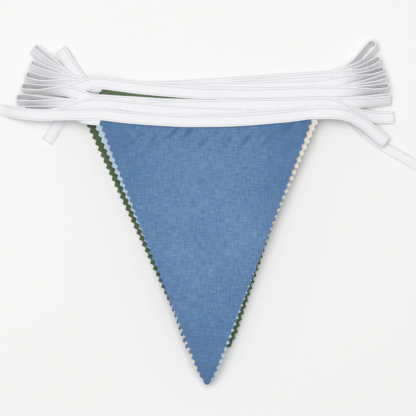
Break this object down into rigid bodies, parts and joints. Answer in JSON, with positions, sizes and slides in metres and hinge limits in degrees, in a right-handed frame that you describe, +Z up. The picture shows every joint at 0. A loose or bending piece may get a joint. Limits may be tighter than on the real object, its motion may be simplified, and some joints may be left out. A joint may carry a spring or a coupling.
{
  "type": "fabric bunting",
  "caption": "String of pinked triangular cloth pennants on a long white tape, folded back and forth into a flat stack with the tape in loops at both sides.",
  "frame": {"origin": "on the table plane under the stack, at the middle of the flat underside of the lowest pennant's rest area", "axes": "+X along the tape's runs, towards the free end under the stack; +Y from the pennants' points towards the tape; +Z up from the table"},
  "size_m": [0.3768, 0.2965, 0.0219],
  "materials": {
    "white_tape": "white folded tape, plain woven, matt",
    "blue_cloth": "mid blue plain-woven cloth, matt",
    "light_blue_cloth": "light blue plain-woven cloth, matt",
    "green_cloth": "dark green plain-woven cloth, matt",
    "mint_cloth": "pale mint plain-woven cloth, matt",
    "cream_cloth": "cream plain-woven cloth, matt"
  },
  "bodies": {
    "root": {"tape": "white_tape", "pennant_01": "green_cloth", "pennant_02": "light_blue_cloth", "pennant_03": "mint_cloth", "pennant_04": "blue_cloth", "pennant_05": "green_cloth", "pennant_06": "light_blue_cloth", "pennant_07": "mint_cloth", "pennant_08": "blue_cloth", "pennant_09": "green_cloth", "pennant_10": "light_blue_cloth", "pennant_11": "green_cloth", "pennant_12": "mint_cloth", "pennant_13": "blue_cloth", "pennant_14": "green_cloth", "pennant_15": "cream_cloth", "pennant_16": "light_blue_cloth", "pennant_17": "blue_cloth"}
  },
  "joints": []
}
